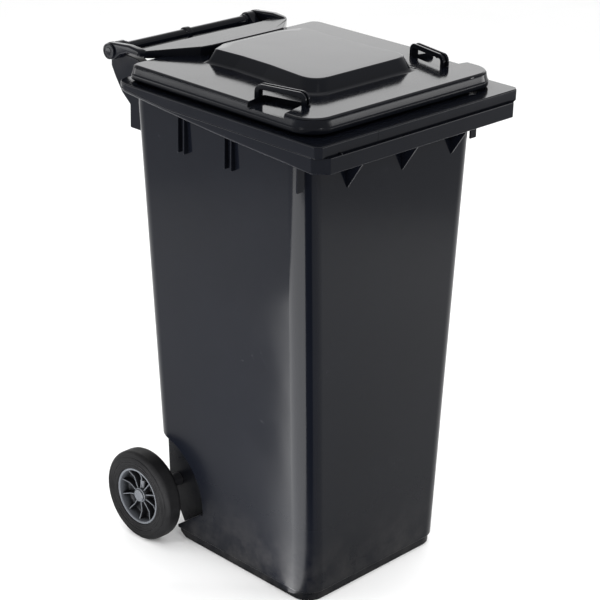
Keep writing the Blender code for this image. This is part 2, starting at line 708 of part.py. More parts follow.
# ---- assembly ----------------------------------------------------------------------------------
def main():
    for thing in list(bpy.data.objects):
        bpy.data.objects.remove(thing)
    hdpe = material("anthracite_hdpe", (0.035, 0.037, 0.042), 0.32)
    hub_grey = material("hub_polypropylene", (0.085, 0.089, 0.105), 0.42)
    rubber = material("tyre_rubber", (0.018, 0.018, 0.018), 0.75)
    steel = material("galvanised_steel", (0.55, 0.56, 0.57), 0.38, 1.0)
    black = material("black_plastic", (0.022, 0.023, 0.026), 0.40)
    pieces = [(tub(), hdpe), (lid(), hdpe), (axle(), steel), (transponder(), black),
              (nest_plug(), hdpe)]
    for side in (-1, 1):
        pieces += [
            (hinge_pin(side), hdpe), (wheel_hub(side), hub_grey), (tyre(side), rubber),
            (hub_cap(side), hub_grey), (axle_sleeve(side), black), (thrust_washer(side), steel),
            (latch_plunger(side), black), (latch_spring(side), steel),
        ]
    for piece, finish in pieces:
        piece.data.materials.clear()
        piece.data.materials.append(finish)


main()
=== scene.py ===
"""Looks of a two-wheeled refuse bin: a finely rounded tub, lid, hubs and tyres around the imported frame."""

import math

import bmesh
import bpy
from mathutils import Matrix, Vector


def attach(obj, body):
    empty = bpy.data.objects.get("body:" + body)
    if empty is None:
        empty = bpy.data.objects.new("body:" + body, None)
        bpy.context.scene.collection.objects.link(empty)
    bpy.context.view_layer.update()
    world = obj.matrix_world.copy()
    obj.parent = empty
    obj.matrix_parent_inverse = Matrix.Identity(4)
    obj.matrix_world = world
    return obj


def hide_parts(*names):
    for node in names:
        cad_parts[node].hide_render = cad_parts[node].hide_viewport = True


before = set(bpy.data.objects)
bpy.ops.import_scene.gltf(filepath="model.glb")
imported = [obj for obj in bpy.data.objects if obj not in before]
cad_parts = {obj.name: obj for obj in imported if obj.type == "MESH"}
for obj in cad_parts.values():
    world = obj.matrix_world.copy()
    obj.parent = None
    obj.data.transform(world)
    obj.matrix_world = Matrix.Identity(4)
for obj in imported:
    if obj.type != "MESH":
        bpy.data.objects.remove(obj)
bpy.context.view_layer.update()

# ---- dimensions of the part, in metres -----------------------------------------------------------
WALL = 0.004
LID_WALL = 0.003
BASE_BAND_TOP, NECK_Z = 0.020, 0.965
BASE_PLAN = (0.201, -0.262, 0.187)       # half width, front y, rear y
NECK_PLAN = (0.246, -0.268, 0.222)
BASE_SET_IN, BASE_FOOT_R, BASE_GROOVE = 0.005, 0.004, 0.0006
BODY_CORNER, BODY_FOOT_R, WELL_EDGE_R = 0.045, 0.0022, 0.0035
FLOOR = 0.006
RIM_TOP, RIM_HALF, RIM_REAR, RIM_REAR_CORNER = 1.0165, 0.283, 0.226, 0.035
RIM_DROP_FRONT, RIM_DROP_REAR = 0.963, 1.001
LEDGE_FRONT, LEDGE_STEP_Z, LEDGE_STEP_IN = -0.345, 0.994, 0.007
LOWER_CUT, UPPER_CUT = 0.025, 0.010          # chamfers at the ends of the ledge's two bands
LEDGE_CROWN, FLANGE_R = 0.0012, 0.0022
MOUTH_PLAN, MOUTH_TOP = (0.244, -0.268, 0.196), 1.030
RIB, RIB_EDGE_R = 0.0036, 0.0005
# y of each side rib's front face, z of its foot
SIDE_RIBS = ((0.068, 0.900), (0.051, 0.900), (-0.064, 0.900), (-0.082, 0.900), (-0.2585, 0.902))
SIDE_RIB_PROUD, SIDE_RIB_ROOT = 0.008, 0.236
FRONT_GUSSETS = (-0.129, 0.024, 0.168)
GUSSET_FOOT_Z = 0.889
LEDGE_RIBS = (-0.235, -0.188, -0.094, -0.047, 0.053, 0.103, 0.200, 0.240)
HINGE = (0.327, 1.040)                       # y and z of a line along X
BAR_R, COLLAR_R, COLLAR_WIDTH = 0.011, 0.0145, 0.014
BRACKET_X, ARM_X, KNUCKLE_R = (0.170, 0.190), (0.1915, 0.2075), 0.018
BRACKET_EDGE_R, ARM_EDGE_R = 0.0018, 0.0045
PIN_R, PIN_INNER_X = 0.006, 0.150
LID_HALF, LID_FRONT, LID_REAR = 0.264, -0.302, 0.210
LID_BOTTOM, LID_TOP = 1.0205, 1.050
LID_FRONT_CORNER, LID_REAR_CORNER = 0.055, 0.026
LID_SHOULDER_R, LID_LEAN, LID_BEAD_R, LID_STEP_IN = 0.0070, 0.0022, 0.0024, 0.0020
PLATEAU_TOP, PLATEAU_DRAFT, PLATEAU_FOOT, PANEL_EDGE_R = 1.077, 0.0115, 0.010, 0.0028
RAMP_FRONT, RAMP_REAR = (0.125, 1.0725), (0.207, 1.062)      # y and z of the rear section's top
REAR_DRAFT, HOOD_BOTTOM = 0.004, 1.044
# right halves of the rear section's outline and of the hollows below it
REAR_HALF = ((0.094, 0.147), (0.1175, 0.1545), (0.1995, 0.2310), (0.1995, 0.257))
REAR_HOLLOW = ((0.0915, 0.150), (0.1150, 0.1578), (0.1680, 0.2070))
HOOD_HOLLOW = ((0.1725, 0.2105), (0.1960, 0.2325), (0.1960, 0.2540))
ARM_FRONTS = (0.2236, 0.2385)                # y of an arm's front end at its inner and outer face
SEAT_BOTTOM = 1.0305
HANDLE_MIDDLE, HANDLE_TURN = (0.2055, -0.166), math.radians(12.7)
HANDLE_HALF, HANDLE_TOP, RECESS_FLOOR, RECESS_EDGE_R = 0.0565, 1.075, 1.0400, 0.0010
AXLE_Y, AXLE_Z, AXLE_R = 0.187, 0.100, 0.010
AXLE = (AXLE_Y, AXLE_Z)
LATCH_X = 0.250
TYRE_R, TYRE_INNER_R, TYRE_X = 0.100, 0.0635, (0.227, 0.272)
HUB_X, BOSS_R, SPOKES = (0.2240, 0.2625), 0.019, 10
WELL_X, WELL_R = 0.150, 0.136
LUG_XS, LUG = (-0.146, -0.050, 0.050, 0.146), 0.008
TOWER_R, TOWER_TOP, PLUNGER_R = 0.0072, 0.0340, 0.0040
NEST_X, NEST_Y, NEST_R, NEST_BORE_R, NEST_BOTTOM = 0.078, -0.310, 0.0185, 0.0155, 0.992
CLEAR = 0.0004                               # gap round a piece that sits in another
SIDES = {-1: "left", 1: "right"}


# ---- mesh helpers --------------------------------------------------------------------------------
def finish_mesh(name, bm):
    """Object of a bmesh, with its doubles merged and its faces pointing out."""
    bmesh.ops.remove_doubles(bm, verts=bm.verts, dist=1e-6)
    bmesh.ops.recalc_face_normals(bm, faces=bm.faces)
    mesh = bpy.data.meshes.new(name)
    bm.to_mesh(mesh)
    bm.free()
    made = bpy.data.objects.new(name, mesh)
    bpy.context.scene.collection.objects.link(made)
    return made


def loft(name, rings, closed=False):
    """Surface through rings of points: capped at both ends, or closed into a loop."""
    bm = bmesh.new()
    loops = [[bm.verts.new(p) for p in ring] for ring in rings]
    pairs = list(zip(loops, loops[1:])) + ([(loops[-1], loops[0])] if closed else [])
    count = len(loops[0])
    for lower, upper in pairs:
        for i in range(count):
            j = (i + 1) % count
            bm.faces.new((lower[i], lower[j], upper[j], upper[i]))
    if not closed:
        bm.faces.new(loops[0])
        bm.faces.new(loops[-1])
    return finish_mesh(name, bm)


def applied(obj):
    """Turns the modifiers of an object into its mesh."""
    bpy.context.view_layer.update()
    graph = bpy.context.evaluated_depsgraph_get()
    mesh = bpy.data.meshes.new_from_object(obj.evaluated_get(graph))
    obj.modifiers.clear()
    obj.data = mesh
    return obj


def rounded(obj, width, segments=2, angle=30):
    """Rounds all edges sharper than the angle."""
    step = obj.modifiers.new("edges", "BEVEL")
    step.width = width
    step.segments = segments
    step.limit_method = "ANGLE"
    step.angle_limit = math.radians(angle)
    return applied(obj)


def combine(target, tools, operation):
    for tool in tools:
        step = target.modifiers.new(operation, "BOOLEAN")
        step.operation = operation
        step.solver = "EXACT"
        step.object = tool
        applied(target)
        bpy.data.objects.remove(tool)
    return target


def joined(name, objects):
    """One mesh that holds all the solids given."""
    bm = bmesh.new()
    for obj in objects:
        bm.from_mesh(obj.data)
    for obj in objects:
        bpy.data.objects.remove(obj)
    mesh = bpy.data.meshes.new(name)
    bm.to_mesh(mesh)
    bm.free()
    made = bpy.data.objects.new(name, mesh)
    bpy.context.scene.collection.objects.link(made)
    return made


def shaded(obj, angle=38):
    """Smooth shading that keeps the edges sharper than the angle."""
    obj.data.shade_smooth()
    obj.data.set_sharp_from_angle(angle=math.radians(angle))
    step = obj.modifiers.new("face weighted", "WEIGHTED_NORMAL")
    step.keep_sharp = True
    step.weight = 60
    return obj


def round_edges_where(obj, wanted, width):
    """Rounds the sharp convex edges whose middle the test accepts."""
    bm = bmesh.new()
    bm.from_mesh(obj.data)
    bmesh.ops.dissolve_degenerate(bm, dist=1e-5, edges=bm.edges)
    edges = []
    for edge in bm.edges:
        if len(edge.link_faces) != 2 or not edge.is_convex:
            continue
        middle = (edge.verts[0].co + edge.verts[1].co) / 2
        if edge.calc_face_angle(0) > math.radians(40) and wanted(middle):
            edges.append(edge)
    bmesh.ops.bevel(bm, geom=edges, offset=width, segments=3, affect="EDGES", profile=0.5, clamp_overlap=True)
    bm.to_mesh(obj.data)
    bm.free()
    return obj


def arc(centre, radius, start, end, steps):
    """Points from one angle to another, both in degrees."""
    for i in range(steps + 1):
        angle = math.radians(start + (end - start) * i / steps)
        yield (centre[0] + radius * math.cos(angle), centre[1] + radius * math.sin(angle))


def rounded_plan(half, front, rear, front_corner, rear_corner, steps=12):
    """Rectangle seen from above with round corners, counterclockwise from the front right one."""
    corners = (
        ((half - front_corner, front + front_corner), front_corner, -90),
        ((half - rear_corner, rear - rear_corner), rear_corner, 0),
        ((rear_corner - half, rear - rear_corner), rear_corner, 90),
        ((front_corner - half, front + front_corner), front_corner, 180),
    )
    return [p for centre, r, turn in corners for p in arc(centre, r, turn, turn + 90, steps)]


def fillet(outline, radii, steps):
    """Outline with its corners rounded off, each by its own radius."""
    made = []
    for i, (corner, radius) in enumerate(zip(outline, radii)):
        here = Vector(corner)
        back = (Vector(outline[i - 1]) - here).normalized()
        ahead = (Vector(outline[(i + 1) % len(outline)]) - here).normalized()
        reach = radius / math.tan(back.angle(ahead) / 2)
        for k in range(steps + 1):
            t = k / steps
            p = here + back * reach * (1 - t) ** 2 + ahead * reach * t ** 2
            made.append((p.x, p.y))
    return made


def level(outline, z):
    return [(x, y, z) for x, y in outline]


def mirrored(points):
    return [(-x, y) for x, y in reversed(points)]


def slab(name, outline, low, high):
    """Solid with an (x, y) outline between two heights."""
    return loft(name, [level(outline, low), level(outline, high)])


def plate(name, profile, x0, x1):
    """Solid with a (y, z) outline between two places along X."""
    return loft(name, [[(x, y, z) for y, z in profile] for x in (x0, x1)])


def circle(centre, radius, segments):
    return list(arc(centre, radius, 0, 360, segments))[:-1]


def rod(name, x0, x1, radius, segments, centre):
    return loft(name, [[(x, *p) for p in circle(centre, radius, segments)] for x in (x0, x1)])


def post(name, centre, radius, low, high, segments=48):
    return loft(name, [level(circle(centre, radius, segments), z) for z in (low, high)])


def dome(name, place, radius):
    """Round button that rises from a face."""
    rings = []
    for k in range(7):
        a = math.radians(-20 + 108 * k / 6)
        rings.append([(place[0] + x, place[1] + y, place[2] + radius * math.sin(a))
                      for x, y in circle((0, 0), radius * math.cos(a), 20)])
    return loft(name, rings)


def turned(name, profile, segments, centre=AXLE, closed=True):
    """Profile of (x, radius) points turned about a line along X."""
    rings = [[(x, *p) for p in circle(centre, radius, segments)] for x, radius in profile]
    return loft(name, rings, closed)


def span(side, low, high):
    """The two places along X on the given side, lowest first."""
    return sorted((side * low, side * high))


def quarter(radius, steps):
    """(inset, rise) pairs of a convex quarter round that ends on a vertical face."""
    for k in range(steps + 1):
        angle = math.pi / 2 * k / steps
        yield radius * (1 - math.sin(angle)), radius * (1 - math.cos(angle))


# ---- tub -----------------------------------------------------------------------------------------
def body_plan(z, inset=0.0):
    """Outline of the tapered wall at a height."""
    t = (z - BASE_BAND_TOP) / (NECK_Z - BASE_BAND_TOP)
    half, front, rear = (a + (b - a) * t for a, b in zip(BASE_PLAN, NECK_PLAN))
    corner = BODY_CORNER - inset
    return rounded_plan(half - inset, front + inset, rear - inset, corner, corner)


def mouth_plan(inset=0.0):
    half, front, rear = MOUTH_PLAN
    corner = BODY_CORNER - inset
    return rounded_plan(half - inset, front + inset, rear - inset, corner, corner)


def gear_space(grow=0.0):
    """Cutters for the wheel wells and the recess between them, moved outwards by grow."""
    reach = 0.30
    arch = list(arc(AXLE, WELL_R + grow, 90, 188, 40))
    well = arch + [(0.058 - grow, 0.083 - grow), (0.133 - 2.8 * grow, 0.028), (0.128 - 2.8 * grow, 0.011),
                   (0.110 - grow, 0.0), (0.108 - grow, -0.01), (reach, -0.01),
                   (reach, AXLE_Z + WELL_R + grow)]
    recess = [(0.132 - grow, -0.01), (0.132 - grow, 0.100), (0.145 - grow, 0.140 + grow),
              (0.180, 0.170 + grow), (reach, 0.205 + grow), (reach, -0.01)]
    return [plate("well", well, WELL_X - grow, reach), plate("well", well, -reach, grow - WELL_X),
            plate("recess", recess, -WELL_X - 0.001, WELL_X + 0.001)]


def body_solid():
    """Tapered body on its set-in base band, cut away for the wheels and the axle."""
    rings = [level(body_plan(BASE_BAND_TOP, BASE_SET_IN + inset), rise)
             for inset, rise in quarter(BASE_FOOT_R, 4)]
    rings += [level(body_plan(BASE_BAND_TOP, BASE_SET_IN), BASE_BAND_TOP - BASE_GROOVE),
              level(body_plan(BASE_BAND_TOP, BASE_SET_IN - BASE_GROOVE), BASE_BAND_TOP)]
    for inset, rise in quarter(BODY_FOOT_R, 4):
        rings.append(level(body_plan(BASE_BAND_TOP, inset), BASE_BAND_TOP + 2 * BASE_GROOVE + rise))
    rings += [level(body_plan(NECK_Z), NECK_Z), level(body_plan(NECK_Z), RIM_TOP - 0.002)]
    body = loft("tub", rings)
    combine(body, gear_space(), "DIFFERENCE")

    def at_well(p):
        return 0.001 < p.z < 0.26 and p.y > 0.03
    return round_edges_where(body, at_well, WELL_EDGE_R)


def cavity_solid():
    low = body_plan(BASE_BAND_TOP, BASE_SET_IN + WALL)
    shoulder = RIM_TOP - 2 * WALL
    cavity = loft("cavity", [
        level(body_plan(BASE_BAND_TOP, BASE_SET_IN + WALL + 0.004), FLOOR), level(low, FLOOR + 0.004),
        level(low, BASE_BAND_TOP), level(body_plan(BASE_BAND_TOP, WALL), BASE_BAND_TOP + 0.006),
        level(body_plan(NECK_Z, WALL), NECK_Z), level(body_plan(NECK_Z, WALL), shoulder),
        level(mouth_plan(WALL), shoulder + WALL), level(mouth_plan(WALL), MOUTH_TOP + 0.01)])
    return combine(cavity, gear_space(WALL), "DIFFERENCE")


def rim_drop(y):
    """Height of the skirt's lower edge, which rises from the ledge to the rear."""
    t = max(0.0, min(1.0, (y - LEDGE_FRONT) / (RIM_REAR - LEDGE_FRONT)))
    return RIM_DROP_FRONT + (RIM_DROP_REAR - RIM_DROP_FRONT) * t ** 1.5


def rim_plan(front, cut, inset=0.0):
    half, r = RIM_HALF - inset, RIM_REAR_CORNER - min(inset, RIM_REAR_CORNER - 0.002)
    cut = max(0.001, cut - 0.586 * inset)
    front = front + inset
    chamfer = [(half - cut - 0.03, front), (half - cut, front), (half, front + cut),
               (half, front + cut + 0.03)]
    right = fillet(chamfer, (1e-5, 0.0035, 0.0035, 1e-5), 4)[5:-5]
    right += [(half, y) for y in (-0.25, -0.2, -0.15, -0.1, -0.05, 0.0, 0.05, 0.1, 0.15)]
    right += arc((half - r, RIM_REAR - inset - r), r, 0, 90, 12)
    return right + mirrored(right)


def rim_ring(front, cut, inset, height):
    """Ring of the rim; inset and height may depend on the place along it."""
    base = rim_plan(front, cut)
    ring = []
    for i, (_, y) in enumerate(base):
        x, moved_y = rim_plan(front, cut, inset(y) if callable(inset) else inset)[i]
        ring.append((x, moved_y, height(y) if callable(height) else height))
    return ring


def rim_solid():
    """Skirt, two-band ledge and flange round the mouth, as one ring open below."""
    upper = LEDGE_FRONT + LEDGE_STEP_IN

    def foot_r(y):
        """Round of the lower edge: tight along the ledge, wider along the sides."""
        return 0.0014 + 0.0046 * max(0.0, min(1.0, (y + 0.33) / 0.08))

    def step_z(y):
        return max(LEDGE_STEP_Z, rim_drop(y) + foot_r(y) + 0.002)

    rings = [rim_ring(LEDGE_FRONT, LOWER_CUT, WALL, lambda y: rim_drop(y) + foot_r(y) + 0.001),
             rim_ring(LEDGE_FRONT, LOWER_CUT, lambda y: max(foot_r(y), 0.0025), rim_drop)]
    for k in range(5):
        turn = math.pi / 2 * k / 4
        rings.append(rim_ring(LEDGE_FRONT, LOWER_CUT, lambda y, a=turn: foot_r(y) * (1 - math.sin(a)),
                              lambda y, a=turn: rim_drop(y) + foot_r(y) * (1 - math.cos(a))))
    rings += [rim_ring(LEDGE_FRONT, LOWER_CUT, 0.0, lambda y: step_z(y) - LEDGE_CROWN),
              rim_ring(LEDGE_FRONT, LOWER_CUT, 0.0003, lambda y: step_z(y) - LEDGE_CROWN * 0.3),
              rim_ring(LEDGE_FRONT, LOWER_CUT, 0.0010, step_z),
              rim_ring(upper, UPPER_CUT, lambda y: 0.0008 if y > -0.3 else 0.0002,
                       lambda y: step_z(y) + 0.0002),
              rim_ring(upper, UPPER_CUT, 0.0, lambda y: step_z(y) + 0.0016)]
    for inset, rise in reversed(list(quarter(FLANGE_R, 4))):
        rings.append(rim_ring(upper, UPPER_CUT, inset, RIM_TOP - rise))
    inner = nearest_on_mouth(rim_plan(upper, UPPER_CUT), 0.012)
    rings += [level(inner, RIM_TOP), level(inner, RIM_TOP - WALL),
              rim_ring(upper, UPPER_CUT, WALL, RIM_TOP - WALL),
              rim_ring(upper, UPPER_CUT, WALL, step_z),
              rim_ring(LEDGE_FRONT, LOWER_CUT, WALL, lambda y: step_z(y) - 0.002)]
    return loft("rim", rings, closed=True)


def nearest_on_mouth(outline, inset):
    """For each point of an outline, the nearest point of the mouth's outline moved in by the inset."""
    half, front, rear = MOUTH_PLAN
    made = []
    for x, y in outline:
        cx = max(BODY_CORNER - half, min(half - BODY_CORNER, x))
        cy = max(front + BODY_CORNER, min(rear - BODY_CORNER, y))
        away = Vector((x - cx, y - cy)).normalized() * (BODY_CORNER - inset)
        made.append((cx + away.x, cy + away.y))
    return made


def side_ribs():
    ribs = []
    outer = NECK_PLAN[0] + SIDE_RIB_PROUD
    for y, foot in SIDE_RIBS:
        for side in (-1, 1):
            rings = []
            for z, reach in ((foot, outer - 0.001), (foot + 0.001, outer), (RIM_TOP - 0.008, outer)):
                rings.append([(side * x, y + dy, z) for x, dy in
                              ((SIDE_RIB_ROOT, 0.0), (reach, 0.0), (reach, RIB), (SIDE_RIB_ROOT, RIB))])
            ribs.append(rounded(loft("rib", rings), RIB_EDGE_R))
    return ribs


def front_gussets():
    """Gussets that run down the front wall, and the short webs inside the ledge."""
    root, nose, top = NECK_PLAN[1] + 0.003, LEDGE_FRONT + 0.009, RIM_TOP - 0.008
    webs = []
    low = RIM_DROP_FRONT + 0.004
    for x in FRONT_GUSSETS:
        profile = [(root, GUSSET_FOOT_Z), (root, top), (nose, top), (nose, low), (-0.3205, low),
                   (NECK_PLAN[1] - 0.001, GUSSET_FOOT_Z)]
        webs.append(rounded(plate("gusset", profile, x - RIB / 2, x + RIB / 2), RIB_EDGE_R))
    low = RIM_DROP_FRONT + 0.006
    profile = [(root, low), (root, top), (nose, top), (nose, low)]
    for x in LEDGE_RIBS:
        webs.append(plate("web", profile, x - RIB / 2, x + RIB / 2))
    return webs


def bracket_profile():
    """Side view of a hinge bracket, from the knuckle round the bar's end to the rear wall."""
    knuckle = list(arc(HINGE, KNUCKLE_R - 0.001, -8, 140, 24))
    wall = NECK_PLAN[2] - 0.003
    return knuckle + [(0.300, 1.037), (0.262, 1.033), (0.238, 1.024), (0.230, 1.005), (wall, 1.005),
                      (wall, 0.885), (0.287, 0.885), (0.287, 0.934), (0.3115, 0.954), (0.332, 0.983),
                      (0.3440, 1.004)]


def axle_lugs():
    """Two low lugs and, at the wells, two tall cheeks, all bored for the axle."""
    front = [(0.130, 0.0), (0.168, 0.0), (0.204, 0.060)]
    inner = front + list(arc(AXLE, 0.0215, -40, 50, 16))
    inner += [(0.203, 0.150), (0.200, 0.178), (0.178, 0.1715), (0.1435, 0.1415), (0.130, 0.1008)]
    cheek = front + [(0.216, 0.095), (0.222, 0.200), (0.1955, 0.2455), (0.1935, 0.240), (0.1915, 0.1755),
                     (0.178, 0.1715), (0.1435, 0.1415), (0.130, 0.1008)]
    lugs = []
    for x in LUG_XS:
        profile = cheek if abs(x) > 0.1 else inner
        lug = rounded(plate("lug", profile, x - LUG / 2, x + LUG / 2), 0.0008)
        lugs.append(combine(lug, [rod("axle bore", -0.16, 0.16, AXLE_R + CLEAR, 48, AXLE)], "DIFFERENCE"))
    return lugs


def grip_bar():
    """Bar between the brackets with a middle collar and a small shoulder at each end."""
    edge, end = COLLAR_WIDTH / 2, BRACKET_X[0]
    half = [(0.0, COLLAR_R), (edge - 0.0015, COLLAR_R), (edge - 0.0004, COLLAR_R - 0.0006),
            (edge, COLLAR_R - 0.0016), (edge + 0.0004, BAR_R + 0.0012), (edge + 0.0016, BAR_R),
            (end - 0.010, BAR_R), (end - 0.0085, BAR_R + 0.0008), (end - 0.0070, BAR_R + 0.0024),
            (end + 0.002, BAR_R + 0.0024)]
    profile = [(-x, r) for x, r in reversed(half[1:])] + half
    return turned("bar", profile, 40, HINGE, closed=False)


def bored(obj, low, high, side):
    """Cuts the hinge pin's bore."""
    return combine(obj, [rod("bore", *span(side, low, high), PIN_R + CLEAR, 40, HINGE)], "DIFFERENCE")


def tub_pieces():
    """The whole tub moulding as one object."""
    shell = body_solid()
    lip_rings = [level(mouth_plan(), RIM_TOP - WALL)]
    for inset, rise in reversed(list(quarter(0.0012, 3))):
        lip_rings.append(level(mouth_plan(inset), MOUTH_TOP - rise))
    combine(shell, [rim_solid(), loft("lip", lip_rings)], "UNION")
    combine(shell, [cavity_solid()], "DIFFERENCE")
    nest = post("nest", (NEST_X, NEST_Y), NEST_R, NEST_BOTTOM, RIM_TOP - 0.002)
    nest_bore = post("nest bore", (NEST_X, NEST_Y), NEST_BORE_R, NEST_BOTTOM - 0.01, RIM_TOP - WALL)
    combine(nest, [nest_bore], "DIFFERENCE")
    bar = grip_bar()
    parts = [shell, nest, bar] + side_ribs() + front_gussets() + axle_lugs()
    for side in (-1, 1):
        bracket = rounded(plate("bracket", bracket_profile(), *span(side, *BRACKET_X)), BRACKET_EDGE_R, 3)
        parts.append(bored(bracket, 0.16, 0.20, side))
        bored(bar, PIN_INNER_X - 0.001, 0.20, side)
    seam_left, seam_right, band = -0.1268, -0.1252, LEDGE_FRONT + LEDGE_STEP_IN
    seam = [(seam_left, band - 0.0003), (seam_right, band - 0.0003), (seam_right, band + 0.002),
            (seam_left, band + 0.002)]
    parts.append(slab("seam", seam, LEDGE_STEP_Z + 0.001, RIM_TOP - 0.0015))
    parts.append(dome("knob", (-0.2265, LEDGE_FRONT + 0.0042, LEDGE_STEP_Z + 0.0004), 0.0026))
    return shaded(joined("tub_shell", parts))


# ---- lid -----------------------------------------------------------------------------------------
def lid_plan(inset=0.0):
    return rounded_plan(LID_HALF - inset, LID_FRONT + inset, LID_REAR - inset,
                        LID_FRONT_CORNER - inset, LID_REAR_CORNER - inset, 14)


def plateau_plan(inset=0.0):
    """Outline of the raised front panel, which has a waist."""
    half = [(0.088, 0.140), (0.136, 0.112), (0.131, 0.040), (0.133, -0.040), (0.146, -0.190)]
    outline = [(x - inset, y + (inset if y < -0.1 else -0.8 * inset)) for x, y in reversed(half)]
    outline += [(-x, y) for x, y in reversed(outline)]
    radii = (0.040, 0.060, 0.060, 0.014, 0.030)
    return fillet(outline, radii + tuple(reversed(radii)), 12)


def both_halves(half):
    return list(half) + [(-x, y) for x, y in reversed(half)]


def rear_plan(inset=0.0):
    """Outline of the rear section, which widens backwards."""
    half = [(x - inset, y + inset * (1.0 if y < 0.15 else 0.3 if y < 0.2 else -1.0)) for x, y in REAR_HALF]
    radii = (0.010, 0.008, 0.003, 0.006)
    return fillet(both_halves(half), radii + radii[::-1], 6)


def ramp_z(y, drop=0.0):
    """Height of the rear section's slope."""
    (y0, z0), (y1, z1) = RAMP_FRONT, RAMP_REAR
    return z0 + (z1 - z0) * (y - y0) / (y1 - y0) - drop


def rounded_top(plan, top, draft, middle):
    """Rings of a rounded upper edge and, past them, of the face whose height is top(y)."""
    rings = []
    for k in range(6):
        turn = math.pi / 2 * k / 5
        inset = draft - 0.002 + PANEL_EDGE_R * (1 - math.cos(turn)) * 1.3
        fall = PANEL_EDGE_R * (1 - math.sin(turn))
        rings.append([(x, y, top(y) - fall) for x, y in plan(inset)])
    rings.append([(x, y, top(y)) for x, y in plan(middle)])
    return rings


def plateau_top(y):
    """The front panel is level and eases down a little at its back edge."""
    t = max(0.0, min(1.0, (y - 0.095) / 0.035))
    return PLATEAU_TOP - 0.0035 * t * t


def front_section():
    """Raised front panel with a concave foot and a leaning wall."""
    rings = [level(plateau_plan(-PLATEAU_FOOT), z) for z in (LID_TOP - 0.002, LID_TOP - 0.0001)]
    for k in range(1, 6):
        t = k / 5
        rings.append(level(plateau_plan(-PLATEAU_FOOT * (1 - t)), LID_TOP + 0.0045 * t ** 2))
    rings += rounded_top(plateau_plan, plateau_top, PLATEAU_DRAFT, PLATEAU_DRAFT + 0.020)
    return loft("plateau", rings)


def rear_section():
    """Sloping rear section, which reaches past the lid's edge as a hood."""
    rings = [level(rear_plan(0.0006), HOOD_BOTTOM), level(rear_plan(), HOOD_BOTTOM + 0.0006),
             level(rear_plan(0.0004), LID_TOP + 0.001)]
    rings += rounded_top(rear_plan, ramp_z, REAR_DRAFT, 0.022)
    return loft("rear section", rings)


def under_ramp(name, outline, low, drop):
    """Solid from a level up to the slope of the rear section."""
    return loft(name, [level(outline, low), [(x, y, ramp_z(y, drop)) for x, y in outline]])


def handle_frame(side, along, out):
    """Place on the lid, along a handle's line and outwards from it."""
    cos, sin = math.cos(HANDLE_TURN), math.sin(HANDLE_TURN)
    x, y = HANDLE_MIDDLE
    return (side * (x - along * sin + out * cos), y - along * cos - out * sin)


def recess(side, grow=0.0):
    """Cutter for the finger plate outside a handle."""
    reach = HANDLE_HALF - 0.010 + grow
    corners = fillet([(-reach, 0.11), (-reach, -0.011 - grow), (reach, -0.011 - grow), (reach, 0.11)],
                     (1e-4, 0.005, 0.005, 1e-4), 6)
    outline = [handle_frame(side, a, o) for a, o in corners]
    return slab("recess", outline, RECESS_FLOOR - grow, LID_TOP + 0.01)


def lid_handle(side):
    """Loop with a grooved outer face: two posts and a bar, swept as one."""
    depth, thick, groove, deep = 0.0078, 0.0098, 0.0032, 0.0036
    section = [(-depth, 0.0008), (-depth + 0.0008, 0.0), (depth - 0.0008, 0.0), (depth, 0.0008),
               (depth, thick - 0.0010), (depth - 0.0003, thick - 0.0003), (depth - 0.0010, thick),
               (groove + 0.0008, thick), (groove + 0.0002, thick - 0.0004), (groove, thick - 0.0010),
               (groove - 0.0004, thick - deep), (-groove + 0.0004, thick - deep), (-groove, thick - 0.0010),
               (-groove - 0.0002, thick - 0.0004), (-groove - 0.0008, thick), (-depth + 0.0010, thick),
               (-depth + 0.0003, thick - 0.0003), (-depth, thick - 0.0010)]
    bend = 0.0055
    inner_half, inner_top = HANDLE_HALF - thick, HANDLE_TOP - thick
    foot = LID_TOP - 0.004
    path = [(-inner_half, foot, -1.0, 0.0)]
    for k in range(9):
        a = math.radians(90 * k / 8)
        path.append((-inner_half + bend * (1 - math.cos(a)), inner_top - bend * (1 - math.sin(a)),
                     -math.cos(a), math.sin(a)))
    path += [(-p[0], p[1], -p[2], p[3]) for p in reversed(path)]
    rings = []
    for along, z, out_a, out_z in path:
        ring = []
        for u, v in section:
            x, y = handle_frame(side, along + out_a * v, u)
            ring.append((x, y, z + out_z * v))
        rings.append(ring)
    parts = [loft("handle", rings)]
    x, y = handle_frame(side, HANDLE_HALF + 0.0035, 0.001)
    parts.append(dome("knob", (x, y, LID_TOP + 0.001), 0.0030))
    x, y = handle_frame(side, -HANDLE_HALF + 0.017, 0.049)
    parts.append(dome("knob", (x, y, RECESS_FLOOR - 0.0006), 0.0026))
    return parts


def lid_outer():
    """Panel and skirt: rounded shoulder, drawn-in upper band and a rounded lower bead."""
    rings = [level(lid_plan(inset), LID_BOTTOM + rise) for inset, rise in quarter(LID_BEAD_R, 3)]
    for k in range(5):
        t = k / 4
        ease = t * t * (3 - 2 * t)
        rings.append(level(lid_plan(LID_STEP_IN * ease), LID_BOTTOM + 0.0095 + 0.0035 * t))
    for inset, rise in reversed(list(quarter(LID_SHOULDER_R, 6))):
        rings.append(level(lid_plan(LID_STEP_IN + LID_LEAN + inset), LID_TOP - rise))
    return loft("lid", rings)


def arm(side):
    """Hinge arm: knuckle at the bar, running forward into the slanting side of the rear section."""
    rings = []
    for x, front in zip(ARM_X, ARM_FRONTS):
        profile = list(arc(HINGE, KNUCKLE_R, -130, 92, 30))
        profile += [(0.300, 1.0605), (0.270, 1.0630), (front + 0.010, 1.0608), (front, 1.0585),
                    (front, HOOD_BOTTOM + 0.001), (0.250, 1.047), (0.275, 1.047), (0.300, 1.038)]
        rings.append([(side * x, y, z) for y, z in profile])
    return rounded(loft("arm", rings), ARM_EDGE_R, 4)


